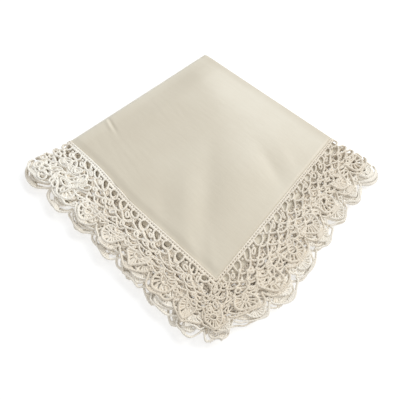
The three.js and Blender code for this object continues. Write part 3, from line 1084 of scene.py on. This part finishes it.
def arch_threads(quarter, t0, t1):
    middle = (t0 + t1) / 2
    half = (t1 - t0) / 2
    shape = TOP_ARCH if quarter.outermost else LOWER_ARCH
    tip = dice.uniform(*ARCH_TIP) * MM
    if not quarter.outermost and 0 < middle < CORNER:
        tip = tip - LOWER_CORNER_SHORTER

    def arch_depth(at):
        return ARCH_FOOT + tip * (1 - np.abs(at) ** shape["flatness"]) ** shape["softness"]

    share = np.linspace(-ARCH_SPAN, ARCH_SPAN, ARCH_POINTS)
    points = quarter.place(middle + half * share, arch_depth(share), 0.0)
    threads = [chain(points, ARCH_RADIUS)]
    for offset in np.linspace(-HELD["span"], HELD["span"], HELD["count"]):
        out = np.array([HELD["start"], HELD["middle"], arch_depth(offset)])
        t = middle + half * offset * HELD_LEAN
        threads.append(bar(quarter.place(t, out, 0.0), HELD_RADII))
    for side in (-1, 1):
        t = middle + half * side * TIE_PLACES
        threads.append(bar(quarter.place(t, TIE_DEPTHS, 0.0), TIE_RADII))
    return threads


print(f"a scallop is up to {ARCH_FOOT / MM + ARCH_TIP[1]:.1f} mm deep")

# %% [markdown]
# ## The row of fans and scallops
# The valleys between the scallops are spread evenly from each fold to the corner. Two
# more lie on the corner itself, so that one scallop goes round it.


# %% Valleys of the border
def valleys(quarter):
    half = SCALLOP_PITCH / 2

    def evenly(low, high):
        return np.linspace(low, high, round(abs(high - low) / SCALLOP_PITCH) + 1)

    first = evenly(quarter.start, -half)
    last = evenly(CORNER + half, quarter.end)
    return np.concatenate([first, [CORNER / 4, CORNER * 3 / 4], last])


def border(quarter, make):
    ends = valleys(quarter)
    threads = []
    for t0, t1 in zip(ends, ends[1:]):
        threads += make(quarter, t0, t1)
    return threads


print("scallops to a quarter:", [len(valleys(quarter)) - 1 for quarter in QUARTERS])

# %% [markdown]
# ## Crocheting the edging
# Each kind of stitch becomes one piece, worked round all four quarters. Only the curls
# belong to one place, the outermost quarter's end at the sharp fold.


# %% Crochet the edging
def all_round(make):
    return [thread for quarter in QUARTERS for thread in make(quarter)]


EDGING = [
    crochet("lace_heading", all_round(heading_threads)),
    crochet("lace_loops", all_round(loop_threads)),
    crochet("lace_net", all_round(net_threads)),
    crochet("lace_picots", all_round(picot_threads)),
    crochet("lace_curls", curl_threads(QUARTERS[0])),
    crochet("lace_fans", all_round(lambda quarter: border(quarter, fan_threads))),
    crochet("lace_arches", all_round(lambda quarter: border(quarter, arch_threads))),
]

# %% [markdown]
# ## Fastening the pieces to the frame
# The handkerchief has no moving part, so every piece rides on the one body. The linen
# stands for its solid, and the pieces of lace stand for the edging's.

# %% Ride and replace
for piece in EDGING:
    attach(piece, "root")
    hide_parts("crochet_edging")
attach(LINEN_CLOTH, "root")
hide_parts("linen_ground")
print("pieces:", [piece.name for piece in EDGING])

# %% [markdown]
# ## Floor
# The floor is a plain white board that glows a little, as a light table does, so the
# holes of the lace stay bright.

# %% Floor
FLOOR_SIZE = 6
FLOOR_DROP = 0.2 * MM
FLOOR_DARKER = (0.2, (0.62, 0.62, 0.62))
FLOOR_LIGHTER = (0.8, (0.66, 0.66, 0.66))
FLOOR_GRAIN = 30.0
FLOOR_ROUGHNESS = 0.9
FLOOR_GLOW = 0.46


def floor_finish():
    finish = Finish("pale_floor")
    place = finish.node("ShaderNodeTexCoord", output=3)
    grain = finish.noise(place, FLOOR_GRAIN, 2.0)
    colour = finish.between(grain, FLOOR_DARKER, FLOOR_LIGHTER)
    finish.set(Base_Color=colour, Roughness=FLOOR_ROUGHNESS)
    finish.set(Emission_Color=(1, 1, 1, 1), Emission_Strength=FLOOR_GLOW)
    return finish.material


bpy.ops.mesh.primitive_plane_add(size=FLOOR_SIZE, location=(0, 0, -FLOOR_DROP))
floor = bpy.context.object
floor.name = "floor"
bpy.ops.object.transform_apply(location=True, rotation=False, scale=False)
floor.data.materials.append(floor_finish())
print("floor:", floor.data.materials[0].name)

# %% [markdown]
# ## Light
# A soft window light stands to the right, and a cooler window farther round puts the
# sheen on the linen along its soft fold. Weak lights overhead and in the room keep the
# shadows open, under a pale sky.

# %% Lights
LIGHTS = (
    dict(name="window", place=(0.78, -0.42, 0.62), size=0.4, power=4.6, colour=(1.0, 0.975, 0.93)),
    dict(name="overhead", place=(0.2, 0.25, 0.9), size=0.6, power=0.9, colour=(1.0, 0.99, 0.975)),
    dict(name="far window", place=(0.705, 0.182, 0.529), size=0.5, power=3.1, colour=(0.86, 0.94, 1.0)),
    dict(name="room", place=(-0.38, -0.24, 0.75), size=0.5, power=1.8, colour=(1.0, 0.985, 0.96)),
)
SKY_STRENGTH = 0.36


def soft_light(name, place, size, power, colour):
    lamp = bpy.data.lights.new(name, "AREA")
    lamp.shape = "DISK"
    lamp.size = size
    lamp.energy = power
    lamp.color = colour
    light = bpy.data.objects.new(name, lamp)
    light.location = place
    light.rotation_euler = (-Vector(place)).to_track_quat("-Z", "Y").to_euler()
    bpy.context.collection.objects.link(light)


for light in LIGHTS:
    soft_light(**light)
sky = bpy.data.worlds.new("pale sky")
sky.use_nodes = True
sky.node_tree.nodes["Background"].inputs["Color"].default_value = (1, 1, 1, 1)
sky.node_tree.nodes["Background"].inputs["Strength"].default_value = SKY_STRENGTH
bpy.context.scene.world = sky
print("lights:", [light["name"] for light in LIGHTS])

# %% [markdown]
# ## Camera
# The camera is held close over the lace corner, as a phone is, and turned a little.

# %% Camera
CAMERA_FROM_SEAM = (-25.45 * MM, 0.58 * MM, 130.1 * MM)
LOOK_HEADING = math.radians(33.58)
LOOK_DOWN = math.radians(65.2)
ROLL = math.radians(8.63)
PHOTO_WIDTH = 400
FOCAL_LENGTH_PX = 260
SENSOR = 36
NEAREST_SEEN = 10 * MM


def photo_camera():
    data = bpy.data.cameras.new("camera")
    data.sensor_width = SENSOR
    data.lens = FOCAL_LENGTH_PX / PHOTO_WIDTH * SENSOR
    data.clip_start = NEAREST_SEEN
    camera = bpy.data.objects.new("camera", data)
    bpy.context.collection.objects.link(camera)
    level = math.cos(LOOK_DOWN)
    ahead = Vector(
        (level * math.cos(LOOK_HEADING), level * math.sin(LOOK_HEADING), -math.sin(LOOK_DOWN))
    )
    right = ahead.cross(Vector((0, 0, 1))).normalized()
    up = right.cross(ahead)
    rolled_right = right * math.cos(ROLL) + up * math.sin(ROLL)
    rolled_up = up * math.cos(ROLL) - right * math.sin(ROLL)
    turn = Matrix((rolled_right, rolled_up, -ahead)).transposed().to_4x4()
    place = Vector(CAMERA_FROM_SEAM) + Vector((*SEAM_CORNER, 0))
    camera.matrix_world = Matrix.Translation(place) @ turn
    return camera


bpy.context.scene.camera = photo_camera()
bpy.context.scene.view_settings.view_transform = "Standard"
print("camera ready")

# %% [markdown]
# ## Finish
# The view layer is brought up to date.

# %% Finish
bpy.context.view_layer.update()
